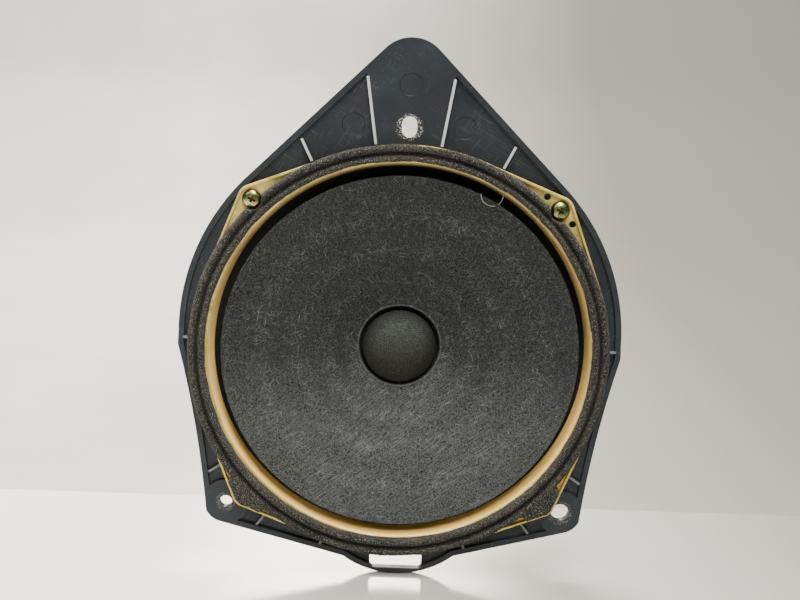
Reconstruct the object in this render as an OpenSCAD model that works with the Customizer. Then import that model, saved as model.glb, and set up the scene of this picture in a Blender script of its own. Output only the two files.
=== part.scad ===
// Door speaker on a teardrop mounting baffle.
// Axes: +X to the right, +Z up, the cone faces -Y.
// Origin: where the speaker's axis meets the baffle's flat rear face.

/* [Speaker frame] */
// Outer radius of the pressed frame's flange
flange_r = 83.3; // [72:0.1:100]
// Thickness of the frame's sheet
sheet = 0.9; // [0.7:0.05:1.2]
// Height of the lip turned up along the flange's edge
lip_h = 1.4; // [1:0.1:2]
// Distance of each ear's screw beyond the flange radius
ear_out = 1.55; // [0:0.05:4]
// Radius of an ear's rounded tip
ear_r = 5.6; // [5.2:0.1:6.4]
// Spacing from the upper right ear's screw to each small hole beside it
side_hole_gap = 7.4; // [6.6:0.1:8]
// Radius of those small holes
side_hole_r = 1.35; // [0.8:0.05:1.4]
// Width of the flange, from its edge to the mouth of the well
flange_w = 6.9; // [6:0.1:9]
// Depth of the sloping wall from the flange to the surround's seat
wall_depth = 7.6; // [6:0.1:10]
// How far that wall slopes in
wall_slope = 1.8; // [1:0.1:3]
// Width of the surround's seat
seat_w = 2.4; // [2:0.1:3.5]
// Depth of the upright wall behind the seat
shoulder_depth = 9; // [8:0.5:12]
// Width of one of the frame's four arms
arm_w = 22; // [20:1:30]
// Radial length of the windows between the arms
window_len = 16.5; // [12:0.5:18]

/* [Mounting baffle] */
// Margin of the baffle's round body around the flange
body_margin = 4.8; // [4:0.1:8]
// Height of the round body's centre above the speaker's axis
body_rise = 6; // [2:0.5:8]
// Margin of the lower edge around the flange
lower_margin = 5; // [4.5:0.1:8]
// Height of the top point beyond the flange
apex_out = 40.7; // [30:0.5:60]
// Radius of the rounded top point
apex_r = 14.5; // [10:0.5:18]
// Distance of the lower lugs beyond the flange
lug_out = 10.4; // [8.8:0.1:14]
// Angle of the lugs from straight down
lug_angle = 46.7; // [43:0.1:55]
// Radius of a lug
lug_r = 9; // [8:0.1:11]
// Depth of the gentle waist above each lug
waist_sag = 0.8; // [0.3:0.1:1.5]
// Depth of the bulge below the slot
bulge_out = 4.7; // [2.5:0.1:5]
// Thickness of the recessed floor
floor_t = 2.2; // [1.8:0.1:3]
// Height of the rim above the floor
rim_h = 1.5; // [1.2:0.1:2.5]
// Width of the rim
rim_w = 2.4; // [1.8:0.1:3]
// Width of a rib
rib_w = 1.1; // [0.8:0.1:2]
// Height of the ribs above the rim
rib_over = 0.25; // [0:0.05:0.5]
// Angle of the ribs beside the top lobe
lobe_rib_angle = 8.8; // [8:0.1:11]
// Height of the top hole beyond the flange
top_hole_out = 6.6; // [5.5:0.1:9]
// Half width of the oval top hole
top_hole_r = 3; // [2.5:0.1:3.8]
// How much taller than wide the oval top hole is
top_hole_stretch = 2.2; // [1:0.1:3]
// Radius of the left lug's hole
left_hole_r = 2.5; // [2:0.05:2.9]
// Radius of the right lug's hole
right_hole_r = 3.6; // [2.5:0.05:3.6]
// Width of the slot at the bottom
slot_w = 21.4; // [12:0.2:26]
// Sideways offset of the slot
slot_x = 1.8; // [0:0.1:3]
// Length of the collar's pilot behind the screw bosses
pilot_len = 4; // [2:0.5:14]
// Step from the collar down to its pilot
pilot_step = 0.8; // [0.6:0.05:1]
// Wall of the collar
collar_t = 2.2; // [1.8:0.1:3]
// Clearance between the frame's wall and the collar
collar_gap = 0.6; // [0.4:0.05:1.5]
// Length of the screw bosses behind the plate
boss_len = 6; // [5:0.5:10]
// Radius of a screw boss
boss_r = 4.2; // [3.6:0.1:5]
// Radius of an ejector-pin mark
pin_mark_r = 4.4; // [3:0.1:5]
// Depth of an ejector-pin mark
pin_mark_depth = 0.15; // [0.1:0.05:0.3]

/* [Front gasket] */
// Height of the gasket in front of the flange
gasket_h = 4.7; // [4:0.1:8]
// Inner radius of the gasket, as a margin outside the well
gasket_margin = 0.55; // [0.5:0.05:1.5]
// Overhang of the gasket past the flange's edge
gasket_over = 0.3; // [0:0.05:0.5]
// How far the gasket sits to the left of the axis
gasket_shift = 0.5; // [0:0.1:0.9]
// Depth of the groove between the gasket's two ridges
groove_depth = 1.5; // [0.8:0.1:2]

/* [Cone and suspension] */
// Gap between the cone's edge and the foot of the sloping wall
cone_gap = 3.3; // [2:0.1:4]
// How far the cone's edge stands in front of the flange
cone_stand = 0.4; // [0:0.1:2]
// Depth of the cone from its edge to its neck
dish_depth = 16; // [12:0.5:18]
// Forward bow of the cone's wall
cone_bow = 1.8; // [1:0.1:3]
// Thickness of the cone's paper
cone_t = 0.7; // [0.5:0.05:1]
// Radius of the recess round the dust cap
neck_r = 17; // [16:0.5:20]
// Height of the dust cap's dome
dome_h = 4.6; // [2:0.1:5]
// Overhang of the dust cap round the coil former
cap_over = 1.2; // [0.8:0.1:1.8]
// Radius of the surround's half roll
roll_r = 4.6; // [4:0.1:5]
// Thickness of the surround
surround_t = 0.6; // [0.4:0.05:0.8]
// Glue gap between soft pieces and the moving cone
glue_gap = 0.3; // [0.2:0.05:0.4]
// Distance from the cone's neck back to the spider
spider_gap = 9; // [7:0.5:12]
// Number of rolls in the spider
spider_rolls = 6; // [4:2:8]
// Thickness of the spider's cloth
spider_t = 0.5; // [0.4:0.05:0.6]
// Radius of the spider's outermost roll
spider_r = 40; // [36:0.5:41]
// Width of the land that the spider is glued to
land_w = 6.5; // [5:0.5:8]

/* [Motor] */
// Inner radius of the coil former
coil_r = 13; // [10.75:0.25:14]
// Wall of the coil former
former_t = 0.25; // [0.2:0.05:0.4]
// Depth of the coil winding's layers
winding_t = 0.7; // [0.5:0.05:0.9]
// Length of the coil winding
winding_len = 11; // [8:0.5:14]
// Clearance on each side of the coil in the magnetic gap
coil_gap = 0.55; // [0.4:0.05:0.8]
// Travel of the cone each way
travel = 4; // [2:0.5:4.5]
// Room behind the spider when the cone is pushed fully in
cup_room = 6; // [5:0.5:10]
// Thickness of the front pole plate
plate_t = 5; // [4:0.5:7]
// Radius of the pole plates
plate_r = 37.5; // [34:0.5:38]
// Outer radius of the ring magnet
magnet_r = 40; // [38:0.5:45]
// Inner radius of the ring magnet
magnet_bore_r = 19; // [17:0.5:22]
// Thickness of the ring magnet
magnet_h = 13; // [11:0.5:18]
// Thickness of the yoke's back plate
yoke_t = 6; // [5:0.5:8]
// Radius of the vent through the pole
vent_r = 3; // [2:0.25:4]

/* [Fasteners and terminals] */
// Radius of a frame screw's head
head_r = 3.8; // [3.5:0.1:4]
// Height of a frame screw's head
head_h = 2.5; // [2:0.1:2.8]
// Radius of a frame screw's shank
shank_r = 1.9; // [1.5:0.05:2.1]
// Radial clearance of the shank in its boss
shank_gap = 0.05; // [0.02:0.01:0.1]
// Length of the terminal board along the arm
board_len = 17; // [16:0.5:18]
// Width of the terminal board
board_w = 20; // [18:0.5:20]
// Thickness of the terminal board
board_t = 1.6; // [1:0.1:2]
// Width of the positive blade
blade_pos_w = 6.3; // [4.8:0.1:6.3]
// Width of the negative blade
blade_neg_w = 4.8; // [2.8:0.1:4.8]
// Length of the blades
blade_len = 8; // [6:0.5:10]
// Thickness of the blades
blade_t = 0.8; // [0.5:0.1:0.8]
// Radius of a lead wire
lead_r = 0.6; // [0.4:0.05:0.8]
// Bow of the lead wires
lead_bow = 5; // [4:0.5:7]

/* [Hidden] */
$fn = 96;

// depths, front to back
floor_y = -floor_t;
rim_y = floor_y - rim_h;
flange_y = rim_y - sheet;
lip_y = flange_y - lip_h;
seat_y = flange_y + wall_depth;
shoulder_y = seat_y + shoulder_depth;
cone_y = flange_y - cone_stand;
neck_y = cone_y + dish_depth;
spider_y = neck_y + spider_gap;
rear_y = spider_y + travel + cup_room;
plate_y = rear_y + sheet;
magnet_y = plate_y + plate_t;
yoke_y = magnet_y + magnet_h;
back_y = yoke_y + yoke_t;
gasket_y = flange_y - gasket_h;
collar_depth = boss_len + pilot_len;

// radii of the frame
well_r = flange_r - flange_w;
seat_r = well_r - wall_slope;
throat_r = seat_r - seat_w;
shoulder_r = throat_r - 0.8;
cup_r = spider_r + 1;
land_r = cup_r + land_w;
rear_hole_r = coil_r + former_t + winding_t + 2.5;
window_r = (shoulder_r + land_r) / 2;
ear_d = flange_r + ear_out;
ears = [for (a = [45 : 90 : 315]) a];

// outline of the baffle
body_r = flange_r + body_margin;
lower_r = flange_r + lower_margin;
apex_z = flange_r + apex_out - apex_r;
lug_x = (flange_r + lug_out) * sin(lug_angle);
lug_z = -(flange_r + lug_out) * cos(lug_angle);
collar_r = well_r + sheet + collar_gap;
top_hole_z = flange_r + top_hole_out;
bulge_r = 37.4;
slot_z = -(lower_r + bulge_out - rim_w);
slot_top = -(collar_r + collar_t + 0.6);

// cone, coil and suspension
cone_r = seat_r - cone_gap;
cone_chord = norm([cone_r - neck_r, neck_y - cone_y]);
cone_curve = pow(cone_chord, 2) / (8 * cone_bow) + cone_bow / 2;
cone_normal = [neck_y - cone_y, cone_r - neck_r] / cone_chord;
cone_mid = [(cone_r + neck_r) / 2, (cone_y + neck_y) / 2];
cone_centre = cone_mid + cone_normal * (cone_curve - cone_bow);
former_r = coil_r + former_t;
winding_r = former_r + winding_t;
pole_r = coil_r - coil_gap;
gap_r = winding_r + coil_gap;
cap_r = former_r + cap_over;
cap_y = neck_y - 1.2;
coil_y = plate_y + plate_t / 2;
roll_x = throat_r - 1 - roll_r;
roll_y = seat_y - surround_t - 1.5;
glue_r = former_r + 0.5;
spider_in = glue_r + 0.1;
roll_from = spider_in + 2.2;
roll_pitch = (spider_r - roll_from) / spider_rolls;

// terminals on the lower right arm
arm_slope = atan((spider_y - shoulder_y) / (shoulder_r - land_r));
board_x = window_r;
board_y = arm_y(board_x) + sheet / cos(arm_slope) + 0.15;
rivet_z = 5.6;
rivet_r = 1.5;
stake_at = (plate_r + rear_hole_r) / 2 + 3;

// depth of an arm's front face at a radius
function arm_y(r) = shoulder_y + (shoulder_r - r) * tan(arm_slope);

// direction of the shared tangent's normal, on side s of two circles
function side(a, ra, b, rb, s) =
    let (d = b - a, t = atan2(d[1], d[0]) + s * acos((ra - rb) / norm(d))) [cos(t), sin(t)];

// the area between two circles' shared tangents, a hair inside them so that it crosses each circle cleanly
module bridge(a, ra, b, rb) {
    p = ra - 0.01;
    q = rb - 0.01;
    polygon([a + p * side(a, p, b, q, 1), b + q * side(a, p, b, q, 1),
             b + q * side(a, p, b, q, -1), a + p * side(a, p, b, q, -1)]);
}

// a front-view shape made solid from depth y0 to y1
module slab(y0, y1)
    translate([0, y1, 0]) rotate([90, 0, 0]) linear_extrude(y1 - y0) children();

// a radius and depth profile turned about the speaker's axis
module turned() rotate([-90, 0, 0]) rotate_extrude() children();

// copies at each ear
module at_ears() for (a = ears) rotate(a) translate([ear_d, 0]) children();

// places pieces along an arm: x outwards, y to the rear
module on_arm() rotate([0, 45, 0]) children();

// places pieces on the arm's sloping rear face
module on_board() on_arm() translate([board_x, board_y, 0]) rotate([0, 0, -arm_slope]) children();

module frame_outline(d = 0) {
    circle(flange_r - d);
    for (a = ears) {
        c = ear_d * [cos(a), sin(a)];
        translate(c) circle(ear_r - d);
        bridge([0, 0], flange_r - d, c, ear_r - d);
    }
}

module baffle_outline(d = 0) {
    body = [0, body_rise];
    lug = [lug_x, lug_z];
    n = side(body, body_r, lug, lug_r, 1);
    from = body + body_r * n;
    to = lug + (lug_r - 1) * n + [0, 5];
    waist_r = pow(norm(to - from), 2) / (8 * waist_sag) + waist_sag / 2;
    difference() {
        union() {
            translate(body) circle(body_r - d);
            circle(lower_r - d);
            translate([0, apex_z]) circle(apex_r - d);
            bridge(body, body_r - d, [0, apex_z], apex_r - d);
            for (s = [-1, 1]) {
                translate([s * lug_x, lug_z]) circle(lug_r - d);
                bridge(body, body_r - d, [s * lug_x, lug_z], lug_r - d);
                bridge([0, 0], lower_r - d, [s * lug_x, lug_z], lug_r - d);
            }
            translate([slot_x, bulge_r - lower_r - bulge_out]) circle(bulge_r - d);
        }
        for (s = [0, 1]) mirror([s, 0])
            translate((from + to) / 2 + n * (waist_r - waist_sag)) circle(waist_r + d);
    }
}

module oval(r, stretch) {
    for (s = [-1, 1]) translate([0, s * stretch / 2]) circle(r);
    square([2 * r, stretch], center = true);
}

module slot_shape() {
    r = 1.6;
    for (s = [-1, 1]) translate([slot_x + s * (slot_w / 2 - r), slot_z + r]) circle(r);
    translate([slot_x - slot_w / 2, slot_z + r]) square([slot_w, slot_top - slot_z - r]);
    translate([slot_x - slot_w / 2 + r, slot_z]) square([slot_w - 2 * r, 2 * r]);
}

module rib_bar(a, from, to) rotate(90 - a) translate([from, -rib_w / 2]) square([to - from, rib_w]);

module ribs() {
    r0 = flange_r + 0.5;
    for (s = [-1, 1]) {
        rib_bar(s * lobe_rib_angle, r0, apex_z + 0.5);
        rib_bar(s * 26.3, r0, body_r + 5.5);
        rib_bar(s * 87.5, r0, body_r - rim_w + 0.6);
        rib_bar(s * 124.5, r0, flange_r + 8.2);
        rib_bar(s * 143, r0, flange_r + 9.2);
        rib_bar(s * 160, r0, lower_r - rim_w + 0.6);
    }
}

module mounting_baffle() color("#2b2e31") {
    difference() {
        union() {
            slab(floor_y, 0) baffle_outline();
            // raised rim, lugs, top lobe and the frame's seat
            slab(rim_y, floor_y + 0.2) intersection() {
                baffle_outline();
                union() {
                    difference() {
                        baffle_outline(-1);
                        baffle_outline(rim_w);
                    }
                    for (s = [-1, 1]) translate([s * lug_x, lug_z]) circle(lug_r + 0.4);
                    polygon([[0, 0], for (s = [-1, 1]) 160 * [s * sin(lobe_rib_angle), cos(lobe_rib_angle)]]);
                    circle(flange_r - 0.9);
                    at_ears() circle(ear_r - 0.5);
                }
            }
            slab(rim_y - rib_over, floor_y + 0.2) difference() {
                intersection() {
                    baffle_outline(0.4);
                    ribs();
                }
                frame_outline(-0.4);
            }
            // collar, stepped down to its pilot behind the bosses
            slab(-0.5, boss_len) circle(collar_r + collar_t);
            slab(boss_len - 0.5, collar_depth) circle(collar_r + collar_t - pilot_step);
            // screw bosses with webs to the collar
            slab(-0.5, boss_len) {
                at_ears() circle(boss_r);
                for (a = ears) rotate(a) translate([collar_r + 0.5, -1]) square([ear_d - collar_r, 2]);
            }
        }
        slab(rim_y - 5, collar_depth + 1) circle(collar_r);
        slab(rim_y - 5, 1) {
            translate([0, top_hole_z]) oval(top_hole_r, top_hole_stretch);
            translate([-lug_x, lug_z]) circle(left_hole_r);
            translate([lug_x, lug_z]) circle(right_hole_r);
            slot_shape();
        }
        slab(rim_y - 5, boss_len - 0.8) at_ears() circle(shank_r + shank_gap);
        // shallow marks left by the ejector pins
        slab(floor_y - pin_mark_depth - 5, floor_y + pin_mark_depth)
            for (s = [-1, 1]) rotate(-s * 13.5) translate([0, flange_r + 9.4]) circle(pin_mark_r);
        slab(rim_y - 5, rim_y + pin_mark_depth) translate([0, apex_z - 3.4]) circle(pin_mark_r);
    }
}

module basket() color("#c9a94e") {
    difference() {
        union() {
            // flange with its lip, as a shallow tray
            difference() {
                slab(lip_y, rim_y) frame_outline();
                slab(lip_y - 1, flange_y) frame_outline(sheet);
                slab(lip_y - 1, rim_y + 1) circle(well_r + sheet);
            }
            // pressed body: well, seat, shoulder, arms, land and cup
            turned() polygon([
                [well_r + 3, flange_y], [well_r + 0.7, flange_y], [well_r + 0.2, flange_y + 0.25],
                [well_r - 0.1, flange_y + 0.8], [seat_r + 0.1, seat_y - 0.4], [seat_r - 0.3, seat_y],
                [throat_r, seat_y], [shoulder_r, shoulder_y], [land_r, spider_y], [cup_r, spider_y],
                [cup_r - 1.5, rear_y], [rear_hole_r, rear_y],
                [rear_hole_r, plate_y], [cup_r - 0.7, plate_y], [cup_r + 0.8, spider_y + sheet],
                [land_r + 0.15, spider_y + sheet], [shoulder_r + 0.8, shoulder_y + 0.8],
                [throat_r + 0.85, seat_y + sheet], [seat_r + 0.75, seat_y + sheet],
                [well_r + 0.75, rim_y + 0.3], [well_r + 1.1, rim_y], [well_r + 3, rim_y]]);
        }
        // windows between the arms
        slab(shoulder_y - 5, spider_y + 5) difference() {
            circle(window_r + window_len / 2);
            circle(window_r - window_len / 2);
            for (a = ears) rotate(a) translate([0, -arm_w / 2]) square([100, arm_w]);
        }
        slab(lip_y, rim_y + 1) {
            at_ears() circle(shank_r + 0.3);
            for (s = [-1, 1]) rotate(45) translate([ear_d, s * side_hole_gap]) circle(side_hole_r);
        }
        slab(rear_y - 1, plate_y + 1) for (a = ears) rotate(a) translate([stake_at, 0]) circle(1.65);
        for (s = [-1, 1]) on_board() translate([0, -4, s * rivet_z]) rotate([-90, 0, 0])
            cylinder(r = rivet_r + 0.05, h = 8);
    }
}

module front_gasket() color("#3b3c3a") {
    in_r = well_r + gasket_margin;
    mid_r = (in_r + flange_r) / 2;
    out_r = flange_r + gasket_over;
    difference() {
        translate([-gasket_shift, 0, 0]) turned() polygon([
            [in_r, flange_y - 0.02], [flange_r - sheet - 0.9, flange_y - 0.02],
            [flange_r - sheet - 0.9, lip_y - 0.3],
            [out_r, lip_y - 0.3], [out_r, gasket_y + 1.2], [out_r - 0.9, gasket_y],
            [mid_r + 1.4, gasket_y], [mid_r + 0.5, gasket_y + groove_depth],
            [mid_r - 0.5, gasket_y + groove_depth], [mid_r - 1.4, gasket_y],
            [in_r + 0.7, gasket_y], [in_r, gasket_y + 1]]);
        // notches round the upper screws, pockets over the lower ones
        slab(gasket_y - 1, flange_y + 1) for (a = [45, 135])
            rotate(a) translate([ear_d, 0]) circle(head_r + 0.4);
        slab(flange_y - head_h - 0.4, flange_y + 1) for (a = [225, 315])
            rotate(a) translate([ear_d, 0]) circle(head_r + 0.4);
    }
    // lobes over the two lower ears, hollow over the screw heads
    difference() {
        slab(gasket_y + 0.3, flange_y - 0.02) intersection() {
            frame_outline(sheet + 0.5);
            for (a = [225, 315]) rotate(a) translate([ear_d - 1.5, 0]) circle(9);
        }
        slab(flange_y - head_h - 0.4, flange_y + 1) at_ears() circle(head_r + 0.4);
        slab(gasket_y - 1, flange_y + 1) circle(mid_r + 0.9);
    }
}

module frame_screws() color("#b9b06a") {
    for (a = ears) rotate([0, a, 0]) translate([ear_d, 0, 0]) difference() {
        turned() polygon([
            [0, flange_y - head_h], [head_r - 1.3, flange_y - head_h],
            [head_r - 0.5, flange_y - head_h + 0.35], [head_r, flange_y - head_h + 1.1],
            [head_r, flange_y - 0.02], [shank_r, flange_y - 0.02],
            [shank_r, boss_len - 2.4], [0.6, boss_len - 1]]);
        // cross recess
        for (t = [0, 90]) rotate([0, t + 20, 0])
            translate([-2.2, flange_y - head_h - 1, -0.45]) cube([4.4, 2.5, 0.9]);
    }
}

// part of the cone's curved wall, from depth a to depth b behind its front face
module curved_wall(a, b, from, to) intersection() {
    difference() {
        translate(cone_centre) circle(cone_curve - a, $fn = 720);
        translate(cone_centre) circle(cone_curve - b, $fn = 720);
    }
    translate([from, -60]) square([to - from, 160]);
}

module cone() color("#2c2c2b") turned() {
    curved_wall(0, cone_t, neck_r, cone_r);
    // neck turned in to the former
    polygon([[neck_r + 0.1, neck_y], [neck_r + 0.1, neck_y + cone_t],
             [former_r + 2.2, neck_y + 3.2], [former_r + 0.05, neck_y + 3.2],
             [former_r + 0.05, neck_y + 2.5], [former_r + 1.9, neck_y + 2.5],
             [neck_r - 0.6, neck_y + 0.1]]);
}

module dust_cap() color("#56564c") {
    s = pow(cap_r, 2) / (2 * dome_h) + dome_h / 2;
    turned() {
        difference() {
            translate([0, cap_y - dome_h + s]) circle(s, $fn = 360);
            translate([0, cap_y - dome_h + s]) circle(s - 0.4, $fn = 360);
            translate([-4 * s, -4 * s]) square([4 * s, 8 * s]);
            translate([0, cap_y]) square(8 * s);
        }
        // skirt round the former
        polygon([[cap_r - 0.3, cap_y - 0.3], [cap_r, cap_y], [former_r + 0.5, cap_y + 1.4],
                 [former_r + 0.05, cap_y + 1.4], [former_r + 0.05, cap_y + 0.7],
                 [cap_r - 0.8, cap_y - 0.3]]);
    }
}

module coil_former() color("#b98a4a") turned()
    polygon([[coil_r, cap_y + 0.8], [former_r, cap_y + 0.8],
             [former_r, coil_y + winding_len / 2 + 1], [coil_r, coil_y + winding_len / 2 + 1]]);

module voice_coil() color("#b4622c") turned()
    translate([former_r, coil_y - winding_len / 2]) square([winding_t, winding_len]);

module coil_leadouts() color("#c07a3c")
    on_arm() for (s = [-1, 1]) rotate([0, -s * 24, 0])
        intersection() {
            turned() translate([former_r, neck_y + 4.4])
                square([0.2, coil_y - winding_len / 2 - neck_y - 4.4]);
            translate([0, neck_y, -1]) cube([20, 60, 2]);
        }

module neck_glue() color("#1c1c1c") turned()
    polygon([[former_r + 0.02, neck_y + 1.2], [former_r + 0.8, neck_y + 2.46],
             [former_r + 0.02, neck_y + 2.46]]);

module spider_glue() color("#1f1d1a") turned()
    polygon([[former_r + 0.22, spider_y - 1.6], [glue_r, spider_y - 1.2],
             [glue_r, spider_y + 0.6], [former_r + 0.22, spider_y + 1]]);

module surround() color("#17181a") {
    in_r = roll_x - roll_r;
    turned() {
        // half roll
        difference() {
            translate([roll_x, roll_y]) circle(roll_r);
            translate([roll_x, roll_y]) circle(roll_r - surround_t);
            translate([roll_x - 2 * roll_r, roll_y - 2 * roll_r]) square([4 * roll_r, 2 * roll_r]);
        }
        // land glued behind the cone
        curved_wall(cone_t + glue_gap, cone_t + glue_gap + surround_t, in_r - 4.5, in_r + surround_t);
        translate([in_r, cone_back(in_r) + glue_gap + 0.2])
            square([surround_t, roll_y - cone_back(in_r) - glue_gap - 0.1]);
        // land glued to the frame's seat
        translate([roll_x + roll_r - surround_t, roll_y - 0.1])
            square([surround_t, seat_y - roll_y - 0.02]);
        translate([roll_x + roll_r - surround_t, seat_y - surround_t - 0.12])
            square([seat_r - roll_x - roll_r + surround_t - 0.5, surround_t]);
    }
}

// depth of the cone's rear face at a radius
function cone_back(r) = cone_centre[1] - sqrt(pow(cone_curve - cone_t, 2) - pow(r - cone_centre[0], 2));

module spider() color("#a8914f") {
    mid = spider_y - spider_t / 2 - 0.02;
    h = roll_pitch / 2;
    turned() {
        for (i = [0 : spider_rolls - 1]) difference() {
            translate([roll_from + roll_pitch * (i + 0.5), mid]) circle(h + spider_t / 2);
            translate([roll_from + roll_pitch * (i + 0.5), mid]) circle(h - spider_t / 2);
            translate([0, mid - (i % 2 == 0 ? 20 : 0)]) square([60, 20]);
        }
        // inner collar and the outer land
        translate([spider_in, mid - spider_t / 2]) square([roll_from - spider_in + spider_t / 2, spider_t]);
        translate([spider_r - spider_t / 2, mid - spider_t / 2])
            square([land_r - spider_r - 0.6, spider_t]);
    }
}

module top_plate() color("#8d9094") difference() {
    turned() polygon([[gap_r, plate_y + 0.02], [plate_r - 0.5, plate_y + 0.02], [plate_r, plate_y + 0.5],
                      [plate_r, magnet_y - 0.5], [plate_r - 0.5, magnet_y], [gap_r, magnet_y]]);
    slab(plate_y - 1, plate_y + 3) for (a = ears) rotate(a) translate([stake_at, 0]) circle(1.65);
}

module ring_magnet() color("#3a3b3d") turned()
    polygon([[magnet_bore_r, magnet_y + 0.02], [magnet_r - 0.8, magnet_y + 0.02],
             [magnet_r, magnet_y + 0.8], [magnet_r, yoke_y - 0.82], [magnet_r - 0.8, yoke_y - 0.02],
             [magnet_bore_r, yoke_y - 0.02]]);

module yoke() color("#8d9094") turned()
    polygon([[vent_r, plate_y - 0.5], [pole_r - 0.5, plate_y - 0.5], [pole_r, plate_y],
             [pole_r, yoke_y - 1], [pole_r + 1, yoke_y], [plate_r - 0.6, yoke_y],
             [plate_r, yoke_y + 0.6], [plate_r, back_y - 1.2], [plate_r - 1.2, back_y],
             [vent_r + 2, back_y], [vent_r + 2, back_y - 1], [vent_r, back_y - 1]]);

module vent_screen() color("#2a2a2a") turned()
    translate([0, back_y - 0.95]) square([vent_r + 1.95, 0.6]);

module staking_rivets() color("#7f8286")
    for (a = ears) rotate([0, a, 0]) translate([stake_at, 0, 0]) turned()
        polygon([[0, rear_y - 0.9], [1.8, rear_y - 0.9], [2.6, rear_y - 0.4], [2.6, rear_y - 0.02],
                 [1.6, rear_y - 0.02], [1.6, plate_y + 2.9], [0, plate_y + 2.9]]);

module terminal_board() color("#6e4a2a") on_board() difference() {
    translate([-board_len / 2, 0, -board_w / 2]) cube([board_len, board_t, board_w]);
    for (s = [-1, 1]) translate([0, -1, s * rivet_z]) rotate([-90, 0, 0])
        cylinder(r = rivet_r + 0.05, h = board_t + 2);
}

// an L-shaped blade: a foot under the rivet and a blade standing to the rear
module blade(w, z) on_board() translate([0, board_t + 0.02, z]) {
    difference() {
        translate([-3.4, 0, -w / 2]) cube([3.4 + board_len / 2 - 1, blade_t, w]);
        translate([0, -1, 0]) rotate([-90, 0, 0]) cylinder(r = rivet_r + 0.05, h = 3);
    }
    difference() {
        translate([board_len / 2 - 1 - blade_t, 0, -w / 2]) cube([blade_t, blade_len, w]);
        translate([board_len / 2 - 3, blade_len - 2.6, 0]) rotate([0, 90, 0]) cylinder(r = 0.8, h = 4);
    }
}

module positive_blade() color("#c8b46a") blade(blade_pos_w, rivet_z);

module negative_blade() color("#c8b46a") blade(blade_neg_w, -rivet_z);

module terminal_rivets() color("#b9bcc0")
    for (s = [-1, 1]) on_board() translate([0, 0, s * rivet_z]) turned() {
        lo = -sheet - 0.35;
        hi = board_t + blade_t + 0.06;
        polygon([[0, lo - 0.7], [1.9, lo - 0.7], [2.3, lo - 0.2], [2.3, lo], [rivet_r, lo],
                 [rivet_r, hi], [2.2, hi], [2.2, hi + 0.3], [1.8, hi + 0.7], [0, hi + 0.7]]);
    }

// a lead wire bowed from a rivet to the coil former
module lead(z) {
    a = [board_x, arm_y(board_x) - 2.4];
    b = [sqrt(pow(former_r + lead_r + 0.5, 2) - z * z), neck_y + 5.4];
    chord = norm(a - b);
    r = pow(chord, 2) / (8 * lead_bow) + lead_bow / 2;
    across = [a[1] - b[1], b[0] - a[0]] / chord;
    c = (a + b) / 2 - across * (r - lead_bow);
    from = atan2(b[1] - c[1], b[0] - c[0]);
    to = atan2(a[1] - c[1], a[0] - c[0]);
    on_arm() translate([c[0], c[1], z]) rotate(from) rotate_extrude(angle = to - from)
        translate([r, 0]) circle(lead_r, $fn = 32);
}

module positive_lead() color("#b5793e") lead(rivet_z);

module negative_lead() color("#a9a9a4") lead(-rivet_z);

mounting_baffle();
basket();
front_gasket();
frame_screws();
surround();
spider();
top_plate();
ring_magnet();
yoke();
vent_screen();
staking_rivets();
terminal_board();
positive_blade();
negative_blade();
terminal_rivets();
positive_lead();
negative_lead();
cone();
dust_cap();
coil_former();
voice_coil();
coil_leadouts();
neck_glue();
spider_glue();
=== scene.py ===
# %% [markdown]
# # A car door speaker on its mounting baffle
# A door speaker is a paper cone in a pressed steel frame, screwed to a moulded black baffle that
# carries it in the door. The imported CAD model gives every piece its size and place. This lesson
# dresses it: the pieces that the eye rests on are modelled again with more detail around the CAD,
# the others keep their CAD shape, and every surface gets a material of its own.

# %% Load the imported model
import math
import bpy
import numpy as np
from mathutils import Matrix, Vector


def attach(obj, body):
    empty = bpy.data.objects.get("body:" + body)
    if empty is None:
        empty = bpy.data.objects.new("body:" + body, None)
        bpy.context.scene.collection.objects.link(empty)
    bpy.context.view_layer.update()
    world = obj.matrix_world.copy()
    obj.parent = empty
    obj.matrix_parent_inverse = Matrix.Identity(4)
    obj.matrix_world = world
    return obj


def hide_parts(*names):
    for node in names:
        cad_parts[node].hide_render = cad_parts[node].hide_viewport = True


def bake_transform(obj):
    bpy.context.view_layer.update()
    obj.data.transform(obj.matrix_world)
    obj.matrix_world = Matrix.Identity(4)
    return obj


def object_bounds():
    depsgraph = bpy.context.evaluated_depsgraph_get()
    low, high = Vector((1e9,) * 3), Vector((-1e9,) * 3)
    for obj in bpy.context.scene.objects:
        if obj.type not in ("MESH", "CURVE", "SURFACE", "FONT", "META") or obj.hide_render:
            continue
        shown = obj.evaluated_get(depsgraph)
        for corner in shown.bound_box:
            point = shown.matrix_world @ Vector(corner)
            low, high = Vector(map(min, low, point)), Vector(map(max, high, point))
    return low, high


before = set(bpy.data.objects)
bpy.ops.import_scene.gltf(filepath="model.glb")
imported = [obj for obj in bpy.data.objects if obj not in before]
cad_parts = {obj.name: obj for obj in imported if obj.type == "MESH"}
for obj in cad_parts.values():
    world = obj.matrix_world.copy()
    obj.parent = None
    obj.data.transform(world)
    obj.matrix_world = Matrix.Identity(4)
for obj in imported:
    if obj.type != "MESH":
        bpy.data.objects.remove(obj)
cad_low, cad_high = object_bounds()
MM = 0.001
print("CAD box in mm:", [round(v / MM, 1) for v in (*cad_low, *cad_high)])

# %% [markdown]
# ## Camera
# The speaker is seen from the front, a little from above and turned by a degree or two, through a
# moderately long lens. The camera is placed by numbers and not by a constraint, so that it stays
# where it is put.

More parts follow.
